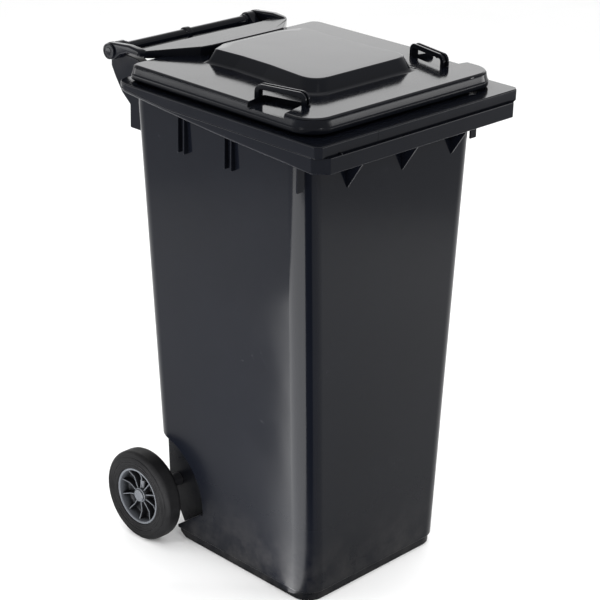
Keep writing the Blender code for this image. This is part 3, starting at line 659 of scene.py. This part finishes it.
def seat_ring():
    """Ring below the panel that rests on the mouth's lip."""
    rings = []
    for inset, z in ((0.0005, LID_TOP - 0.002), (0.0005, SEAT_BOTTOM + 0.0006), (0.0011, SEAT_BOTTOM),
                     (LID_WALL, SEAT_BOTTOM), (LID_WALL + 0.0005, SEAT_BOTTOM + 0.0006),
                     (LID_WALL + 0.0005, LID_TOP - 0.002)):
        rings.append(level(mouth_plan(inset), z))
    return loft("seat", rings, closed=True)


def lid_pieces():
    """The whole lid moulding as one object."""
    panel = lid_outer()
    combine(panel, [recess(side) for side in (-1, 1)], "DIFFERENCE")

    def at_recess(p):
        return abs(p.x) > 0.19 and -0.24 < p.y < -0.09 and p.z > RECESS_FLOOR - 0.001
    round_edges_where(panel, at_recess, RECESS_EDGE_R)
    inner_top = LID_TOP - LID_WALL
    hollow = slab("lid hollow", lid_plan(LID_WALL + 0.002), LID_BOTTOM - 0.01, inner_top)
    front_hollow = loft("hollow", [level(plateau_plan(LID_WALL), inner_top - 0.002),
                                   level(plateau_plan(0.016), PLATEAU_TOP - LID_WALL - 0.004)])
    rear_hollow = under_ramp("hollow", both_halves(REAR_HOLLOW), inner_top - 0.002, LID_WALL + 0.002)
    combine(hollow, [front_hollow, rear_hollow], "UNION")
    combine(hollow, [recess(side, LID_WALL) for side in (-1, 1)], "DIFFERENCE")
    hood_hollow = under_ramp("hollow", both_halves(HOOD_HOLLOW), HOOD_BOTTOM - 0.01, LID_WALL + 0.001)
    combine(panel, [front_section(), rear_section()], "UNION")
    combine(panel, [hollow, hood_hollow], "DIFFERENCE")
    ring = combine(seat_ring(), [recess(side, 0.001) for side in (-1, 1)], "DIFFERENCE")
    parts = [panel, ring]
    for side in (-1, 1):
        parts.append(bored(arm(side), 0.18, 0.22, side))
        parts += lid_handle(side)
    return shaded(joined("lid_panel", parts))


# ---- wheels --------------------------------------------------------------------------------------
def hub(side):
    """Dished hub with spokes and, on its boss, the tower that holds the wheel latch."""
    x0, x1 = HUB_X
    rim0, rim1 = TYRE_X[0] + 0.001, TYRE_X[1] - 0.003
    web = 0.2405
    outer_r = TYRE_INNER_R - CLEAR
    barrel_r = outer_r - 0.0055
    bore = AXLE_R + CLEAR
    profile = [
        (x0, bore), (x1, bore), (x1, BOSS_R - 0.0042), (x1 - 0.0003, BOSS_R - 0.0036),
        (x1 - 0.001, BOSS_R - 0.0030), (web + 0.0080, BOSS_R - 0.0012), (web + 0.0050, BOSS_R),
        (web + 0.0038, BOSS_R + 0.0022), (web + 0.0034, BOSS_R + 0.005), (web + 0.0034, barrel_r - 0.011),
        (web + 0.0040, barrel_r - 0.0065), (web + 0.0060, barrel_r - 0.0035),
        (web + 0.0095, barrel_r - 0.0018), (rim1 - 0.0030, barrel_r - 0.0002),
        (rim1 - 0.0010, barrel_r + 0.0006), (rim1 - 0.0003, barrel_r + 0.0012), (rim1, barrel_r + 0.0022),
        (rim1, outer_r - 0.0014), (rim1 - 0.0003, outer_r - 0.0005), (rim1 - 0.001, outer_r), (rim0, outer_r),
        (rim0, barrel_r), (web, barrel_r - 0.004), (web, BOSS_R), (x0, BOSS_R)]
    body = turned("hub", [(side * x, r) for x, r in profile], 96)
    stations = ((BOSS_R - 0.004, x1 - 0.0035, 0.0019), (BOSS_R + 0.004, x1 - 0.0042, 0.0015),
                (0.040, x1 - 0.0060, 0.0013), (barrel_r - 0.002, rim1 - 0.0060, 0.0014),
                (barrel_r + 0.001, rim1 - 0.0052, 0.0018))      # radius, outer face, half width of a spoke
    centre = Vector((0, *AXLE))
    spokes = []
    for i in range(SPOKES):
        angle = 2 * math.pi * (i + 0.5) / SPOKES
        out = Vector((0, math.cos(angle), math.sin(angle)))
        across = Vector((0, -math.sin(angle), math.cos(angle)))
        rings = []
        for radius, face, half in stations:
            middle = centre + out * radius
            rings.append([middle + across * s + Vector((side * x, 0, 0)) for x, s in
                          ((web + 0.001, -half * 1.5), (face - 0.0008, -half), (face, -half + 0.0006),
                           (face, half - 0.0006), (face - 0.0008, half), (web + 0.001, half * 1.5))])
        spokes.append(loft("spoke", rings))
    tower = post("tower", (side * LATCH_X, AXLE_Y), TOWER_R, AXLE_Z + BOSS_R - 0.005, AXLE_Z + TOWER_TOP)
    rounded(tower, 0.0008, 2, 60)
    pocket = post("pocket", (side * LATCH_X, AXLE_Y), PLUNGER_R + CLEAR, AXLE_Z, AXLE_Z + TOWER_TOP - 0.002)
    combine(body, [tower], "UNION")
    combine(body, [pocket], "DIFFERENCE")
    return shaded(joined("wheel_hub_" + SIDES[side] + "_dished", [body] + spokes), 30)


def tyre(side):
    """Solid tyre: rounded tread and a side wall with raised rings."""
    x0, x1 = TYRE_X
    inner = TYRE_INNER_R
    face = x1 - 0.0012
    profile = [(x0 + 0.001, inner), (face - 0.0016, inner), (face - 0.0006, inner + 0.0004),
               (face, inner + 0.0014), (face, 0.0705), (face - 0.0009, 0.0711), (face - 0.0009, 0.0722),
               (face, 0.0728),
               (face + 0.0004, 0.0765), (face - 0.0006, 0.0771), (face - 0.0006, 0.0781),
               (x1 - 0.0002, 0.0788), (x1, 0.0800), (x1, 0.0850), (x1 - 0.0004, 0.0868),
               (x1 - 0.0014, 0.0880), (x1 - 0.0024, 0.0884), (x1 - 0.0026, 0.0896), (x1 - 0.0022, 0.0904)]
    tread_r = 0.0125
    for k in range(10):
        a = math.radians(24 + 66 * k / 9)
        profile.append((x1 - tread_r + 0.0115 * math.cos(a), TYRE_R - tread_r + tread_r * math.sin(a)))
    for degrees in (90, 70, 50, 30, 10):
        a = math.radians(degrees)
        profile.append((x0 + tread_r - tread_r * math.cos(a), TYRE_R - tread_r + tread_r * math.sin(a)))
    profile += [(x0, 0.080), (x0, inner + 0.0015)]
    return shaded(turned("tyre_" + SIDES[side] + "_ringed", [(side * x, r) for x, r in profile], 128), 50)


def cap(side):
    """Pressed cap with a shallow dished face."""
    x1 = HUB_X[1] + CLEAR
    profile = [(0.2584, 0.0080), (0.2592, AXLE_R), (x1, AXLE_R), (x1, 0.0132), (x1 + 0.0004, 0.0136),
               (x1 + 0.0014, 0.0136), (x1 + 0.0026, 0.0130), (x1 + 0.0033, 0.0116), (x1 + 0.0034, 0.0104),
               (x1 + 0.0028, 0.0092), (x1 + 0.0024, 0.0070), (x1 + 0.0023, 0.0030), (x1 + 0.0023, 0.0006)]
    body = turned("hub_cap_" + SIDES[side] + "_dished", [(side * x, r) for x, r in profile], 64, closed=False)
    return shaded(body, 40)


def pin(side):
    """Hinge pin with a domed head that has a raised border."""
    head_in = ARM_X[1] + CLEAR
    head_out = head_in + 0.004
    profile = [(PIN_INNER_X, PIN_R - 0.0015), (PIN_INNER_X + 0.0015, PIN_R), (head_in, PIN_R),
               (head_in, 0.0160),
               (head_in + 0.0005, 0.0165), (head_out - 0.0014, 0.0165), (head_out - 0.0004, 0.0160),
               (head_out, 0.0150), (head_out, 0.0134), (head_out - 0.0004, 0.0128),
               (head_out - 0.0012, 0.0124), (head_out - 0.0012, 0.0082), (head_out - 0.0004, 0.0076),
               (head_out - 0.0002, 0.0060), (head_out - 0.0002, 0.0006)]
    name = "hinge_pin_" + SIDES[side] + "_headed"
    return shaded(turned(name, [(side * x, r) for x, r in profile], 64, HINGE, closed=False), 40)


# ---- materials -----------------------------------------------------------------------------------
class Nodes:
    """Short way to write a node tree."""

    def __init__(self, name):
        self.made = bpy.data.materials.new(name)
        self.made.use_nodes = True
        self.tree = self.made.node_tree
        self.shader = self.tree.nodes["Principled BSDF"]
        self.place = self.add("ShaderNodeTexCoord").outputs["Object"]

    def add(self, kind, **settings):
        node = self.tree.nodes.new(kind)
        for key, value in settings.items():
            setattr(node, key, value)
        return node

    def feed(self, socket, value):
        if isinstance(value, bpy.types.NodeSocket):
            self.tree.links.new(value, socket)
        else:
            socket.default_value = value

    def noise(self, scale, detail, rough, stretch=(1, 1, 1), turn=(0, 0, 0)):
        mapping = self.add("ShaderNodeMapping")
        mapping.inputs["Scale"].default_value = stretch
        mapping.inputs["Rotation"].default_value = turn
        self.feed(mapping.inputs["Vector"], self.place)
        node = self.add("ShaderNodeTexNoise")
        self.feed(node.inputs["Vector"], mapping.outputs["Vector"])
        node.inputs["Scale"].default_value = scale
        node.inputs["Detail"].default_value = detail
        node.inputs["Roughness"].default_value = rough
        return node.outputs["Fac"]

    def math(self, operation, a, b):
        node = self.add("ShaderNodeMath", operation=operation)
        for socket, value in zip(node.inputs, (a, b)):
            self.feed(socket, value)
        return node.outputs[0]

    def span(self, value, low, high, to_low=0.0, to_high=1.0):
        """Maps the range from low to high onto the range from to_low to to_high, clamped."""
        node = self.add("ShaderNodeMapRange")
        given = {"Value": value, "From Min": low, "From Max": high, "To Min": to_low, "To Max": to_high}
        for key, setting in given.items():
            self.feed(node.inputs[key], setting)
        return node.outputs["Result"]

    def mix(self, factor, a, b):
        node = self.add("ShaderNodeMix", data_type="RGBA")
        self.feed(node.inputs["Factor"], factor)
        for index, colour in ((6, a), (7, b)):
            self.feed(node.inputs[index], (*colour, 1.0) if isinstance(colour, tuple) else colour)
        return node.outputs[2]

    def bump(self, height, strength, distance, onto=None):
        node = self.add("ShaderNodeBump")
        node.inputs["Strength"].default_value = strength
        node.inputs["Distance"].default_value = distance
        self.feed(node.inputs["Height"], height)
        if onto is not None:
            self.feed(node.inputs["Normal"], onto)
        return node.outputs["Normal"]

    def edges(self, radius):
        """1 on convex edges, fading over the radius."""
        bevel = self.add("ShaderNodeBevel", samples=4)
        bevel.inputs["Radius"].default_value = radius
        geometry = self.add("ShaderNodeNewGeometry")
        dot = self.add("ShaderNodeVectorMath", operation="DOT_PRODUCT")
        self.feed(dot.inputs[0], bevel.outputs["Normal"])
        self.feed(dot.inputs[1], geometry.outputs["Normal"])
        return self.span(dot.outputs["Value"], 0.995, 0.80)

    def crevices(self, reach):
        """1 deep inside hollows, 0 on open faces, found by ambient occlusion; used as the mask for painted
        shade.
        """
        shade = self.add("ShaderNodeAmbientOcclusion", samples=8)
        shade.inputs["Distance"].default_value = reach
        return self.span(shade.outputs["AO"], 0.85, 0.35)

    def height(self):
        split = self.add("ShaderNodeSeparateXYZ")
        self.feed(split.inputs["Vector"], self.place)
        return split.outputs["Z"]

    def out(self, colour, roughness, normal, metallic=0.0, specular=0.5):
        self.feed(self.shader.inputs["Base Color"], colour)
        self.feed(self.shader.inputs["Roughness"], roughness)
        self.feed(self.shader.inputs["Normal"], normal)
        self.shader.inputs["Metallic"].default_value = metallic
        self.feed(self.shader.inputs["Specular IOR Level"], specular)
        return self.made


def scratches(n):
    """Sparse fine scuffs in two directions."""
    one = n.span(n.noise(60, 2, 0.5, (1, 14, 1), (0.3, 0.5, 0.2)), 0.70, 0.76)
    two = n.span(n.noise(45, 2, 0.5, (12, 1, 2), (0.1, 0.9, 0.6)), 0.71, 0.77)
    patch = n.span(n.noise(7, 3, 0.6), 0.50, 0.66)
    return n.math("MULTIPLY", n.math("MAXIMUM", one, two), patch)


def moulded_plastic(name, colour, roughness, grain=1.0, dusty=True, specular=0.5, painted_shade=0.0):
    """Semi-gloss moulded polyethylene: slight tone changes, fine grain, scuffs, paler worn edges and, when
    asked, painted shade in hollows.
    """
    n = Nodes(name)
    tone = n.span(n.noise(3.5, 4, 0.6), 0.3, 0.7)
    darker, lighter = (tuple(c * k for c in colour) for k in (0.90, 1.10))
    base = n.mix(tone, darker, lighter)
    worn = n.math("MULTIPLY", n.edges(0.0012), n.span(n.noise(38, 4, 0.7), 0.42, 0.72))
    base = n.mix(n.math("MULTIPLY", worn, 0.30), base, tuple(c * 2.6 + 0.02 for c in colour))
    scuff = scratches(n)
    base = n.mix(n.math("MULTIPLY", scuff, 0.22), base, tuple(c * 2.2 + 0.012 for c in colour))
    cloud = n.span(n.noise(9, 5, 0.6), 0.25, 0.75, -0.03, 0.03)
    marred = n.math("MULTIPLY", n.math("MAXIMUM", scuff, worn), 0.16)
    rough = n.math("ADD", n.math("ADD", cloud, roughness), marred)
    # painted shade: in hollows found by ambient occlusion the colour goes near black and the specular drops,
    # standing in for the shade there
    if painted_shade:
        shade_mask = n.math("MULTIPLY", n.crevices(0.045), painted_shade)
        base = n.mix(shade_mask, base, (0.0012, 0.0012, 0.0014))
        specular = n.span(shade_mask, 0.0, 1.0, specular, 0.1 * specular)
    if dusty:
        low = n.span(n.height(), 0.16, 0.0)
        dust = n.math("MULTIPLY", low, n.span(n.noise(22, 5, 0.65), 0.40, 0.75))
        base = n.mix(n.math("MULTIPLY", dust, 0.10), base, (0.16, 0.15, 0.14))
        rough = n.math("ADD", rough, n.math("MULTIPLY", dust, 0.12))
        rough = n.math("ADD", rough, n.span(n.height(), 0.36, 0.16, 0.0, 0.16))
    wave = n.bump(n.noise(5.5, 2, 0.5), 0.10 * grain, 0.004)
    fine = n.bump(n.noise(900, 2, 0.6), 0.035 * grain, 0.0004, wave)
    return n.out(base, rough, fine, specular=specular)


def rubber(name):
    n = Nodes(name)
    tone = n.span(n.noise(14, 5, 0.65), 0.35, 0.70)
    base = n.mix(tone, (0.0036, 0.0036, 0.0040), (0.0085, 0.0085, 0.009))
    worn = n.math("MULTIPLY", n.edges(0.0015), n.span(n.noise(60, 4, 0.7), 0.35, 0.70))
    base = n.mix(n.math("MULTIPLY", worn, 0.5), base, (0.07, 0.07, 0.072))
    rough = n.span(n.noise(30, 4, 0.6), 0.3, 0.7, 0.42, 0.58)
    coarse = n.bump(n.noise(260, 4, 0.7), 0.25, 0.0006)
    return n.out(base, rough, coarse, specular=0.06)


def steel(name):
    n = Nodes(name)
    cells = n.add("ShaderNodeTexVoronoi")
    cells.inputs["Scale"].default_value = 160
    n.feed(cells.inputs["Vector"], n.place)
    spangle = n.span(cells.outputs["Distance"], 0.0, 0.8)
    base = n.mix(spangle, (0.46, 0.47, 0.48), (0.66, 0.67, 0.68))
    dull = n.span(n.noise(120, 4, 0.6), 0.4, 0.75)
    worn = n.math("MULTIPLY", n.edges(0.0008), 0.4)
    base = n.mix(n.math("MULTIPLY", dull, 0.35), base, (0.30, 0.30, 0.30))
    rough = n.math("ADD", n.span(spangle, 0, 1, 0.30, 0.42), n.math("MULTIPLY", worn, 0.2))
    return n.out(base, rough, n.bump(n.noise(700, 3, 0.6), 0.10, 0.0003), metallic=1.0)


def floor_material():
    n = Nodes("pale_floor")
    tone = n.span(n.noise(2.0, 3, 0.5), 0.3, 0.7)
    base = n.mix(tone, (0.88, 0.88, 0.88), (0.90, 0.90, 0.90))
    rough = n.span(n.noise(6, 3, 0.5), 0.3, 0.7, 0.55, 0.62)
    return n.out(base, rough, n.bump(n.noise(300, 2, 0.5), 0.02, 0.0005), specular=0.2)


def card_material():
    n = Nodes("black_card")
    base = n.mix(n.span(n.noise(40, 3, 0.5), 0.3, 0.7), (0.002, 0.002, 0.002), (0.004, 0.004, 0.004))
    return n.out(base, 0.9, n.bump(n.noise(300, 2, 0.5), 0.02, 0.0005), specular=0.0)


# ---- pieces on their bodies ----------------------------------------------------------------------
# painted_shade sets how strongly hollows are darkened with painted shade (tub and hub)
MATERIALS = {
    "anthracite_hdpe": moulded_plastic("anthracite_hdpe", (0.0024, 0.0029, 0.0047), 0.12, specular=0.095,
                                       painted_shade=0.6),
    "hub_polypropylene": moulded_plastic("hub_polypropylene", (0.066, 0.071, 0.080), 0.34, grain=1.4,
                                         dusty=False, specular=0.3, painted_shade=0.95),
    "tyre_rubber": rubber("tyre_rubber"),
    "galvanised_steel": steel("galvanised_steel"),
    "black_plastic": moulded_plastic("black_plastic", (0.014, 0.014, 0.016), 0.34, grain=1.2, dusty=False),
}


def dress(obj, finish):
    obj.data.materials.clear()
    obj.data.materials.append(MATERIALS[finish])


def settle(obj, body, finish, node):
    """Gives a piece its material and body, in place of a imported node."""
    dress(obj, finish)
    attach(obj, body)
    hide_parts(node)


settle(tub_pieces(), "bin", "anthracite_hdpe", "tub")
settle(lid_pieces(), "lid", "anthracite_hdpe", "lid")
for side, word in SIDES.items():
    settle(hub(side), "wheel_" + word, "hub_polypropylene", "wheel_hub_" + word)
    settle(tyre(side), "wheel_" + word, "tyre_rubber", "tyre_" + word)
    settle(cap(side), "wheel_" + word, "hub_polypropylene", "hub_cap_" + word)
    settle(pin(side), "lid", "anthracite_hdpe", "hinge_pin_" + word)
KEPT = {"axle": "galvanised_steel", "transponder": "black_plastic", "nest_plug": "anthracite_hdpe"}
for word in SIDES.values():
    KEPT.update({"axle_sleeve_" + word: "black_plastic", "thrust_washer_" + word: "galvanised_steel",
                 "latch_plunger_" + word: "black_plastic", "latch_spring_" + word: "galvanised_steel"})
for node, finish in KEPT.items():
    dress(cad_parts[node], finish)

# ---- studio --------------------------------------------------------------------------------------
CORNER = Vector((-0.215, -0.235, 0.0))       # front left corner of the tub on the floor


def panel_light(name, place, aim, size, power):
    data = bpy.data.lights.new(name, "AREA")
    data.shape = "RECTANGLE"
    data.size, data.size_y = size
    data.energy = power
    lamp = bpy.data.objects.new(name, data)
    lamp.location = place
    lamp.rotation_euler = (Vector(aim) - Vector(place)).to_track_quat("-Z", "Y").to_euler()
    lamp.visible_camera = False
    bpy.context.scene.collection.objects.link(lamp)
    return lamp


def floor_light(name, near, size, rise, power):
    """Panel lying to the left of the corner's diagonal, its far edge raised."""
    long = Vector((-size[0] * math.sqrt(0.5), -size[0] * math.sqrt(0.5), rise))
    wide = Vector((-size[1] * math.sqrt(0.5), size[1] * math.sqrt(0.5), 0.0))
    lamp = panel_light(name, near + long / 2 + wide / 2, (0, 0, 0), size[::-1], power)
    x, y = wide.normalized(), long.normalized()
    z = x.cross(y)
    if z.z > 0:
        x, z = -x, -z
    lamp.rotation_euler = Matrix((x, y, z)).transposed().to_euler()


def sheet(name, corners, material):
    mesh = bpy.data.meshes.new(name)
    mesh.from_pydata(corners, [], [(0, 1, 2, 3)])
    mesh.materials.append(material)
    made = bpy.data.objects.new(name, mesh)
    bpy.context.scene.collection.objects.link(made)
    return made


sheet("floor", [(-30, -30, 0), (30, -30, 0), (30, 30, 0), (-30, 30, 0)], floor_material())

# a black card seen only in reflections, as used beside a glossy object in a studio
card_offsets = ((-0.02, -0.02, 0.004), (-1.9, -1.9, 0.004), (-0.45, -2.4, 0.004), (0.0, -0.08, 0.004))
card = sheet("front flag", [CORNER + Vector(offset) for offset in card_offsets], card_material())
card.visible_camera = card.visible_diffuse = card.visible_shadow = False

world = bpy.data.worlds.new("studio")
world.use_nodes = True
background = world.node_tree.nodes["Background"]
background.inputs["Color"].default_value = (1.0, 1.0, 1.0, 1.0)
background.inputs["Strength"].default_value = 1.06
bpy.context.scene.world = world
bpy.context.scene.view_settings.view_transform = "Standard"

panel_light("overhead", (0.2, -0.2, 3.6), (0.0, 0.2, 0.0), (3.0, 3.0), 25)
panel_light("back softbox", (2.3, 2.15, 2.15), (0.0, 0.0, 1.15), (4.4, 1.35), 34)
panel_light("low softbox", (2.3, 2.15, 1.20), (0.0, 0.0, 1.20), (4.0, 0.5), 2.0)
panel_light("skirt light left", (-1.75, 1.55, 0.80), (-0.25, 0.0, 1.03), (2.4, 0.6), 30)
panel_light("skirt light right", (1.65, -1.85, 0.80), (0.0, -0.3, 1.03), (2.4, 0.6), 40)
floor_light("left panel", CORNER + Vector((0.04, 0.04, 0.003)), (1.35, 1.35), 0.32, 54)
panel_light("key left", (-2.95, -0.35, 2.75), (0.0, 0.0, 0.9), (0.42, 0.42), 18)
panel_light("key right", (-0.35, -2.95, 2.75), (0.0, 0.0, 0.9), (0.42, 0.42), 18)

# ---- camera --------------------------------------------------------------------------------------
camera = bpy.data.objects.new("camera", bpy.data.cameras.new("camera"))
camera.data.sensor_width = 36.0
camera.data.lens = 113.87
camera.data.shift_x, camera.data.shift_y = -0.00585, -0.0418
camera.data.clip_start, camera.data.clip_end = 0.1, 100.0
camera_place = (-2.5808, -2.5544, 2.0839)
right, up = (0.70518, -0.70870, 0.02163), (0.25493, 0.28190, 0.92495)
back = (-0.66161, -0.64675, 0.37946)
camera.matrix_world = Matrix.Translation(camera_place) @ Matrix((right, up, back)).transposed().to_4x4()
bpy.context.scene.collection.objects.link(camera)
bpy.context.scene.camera = camera
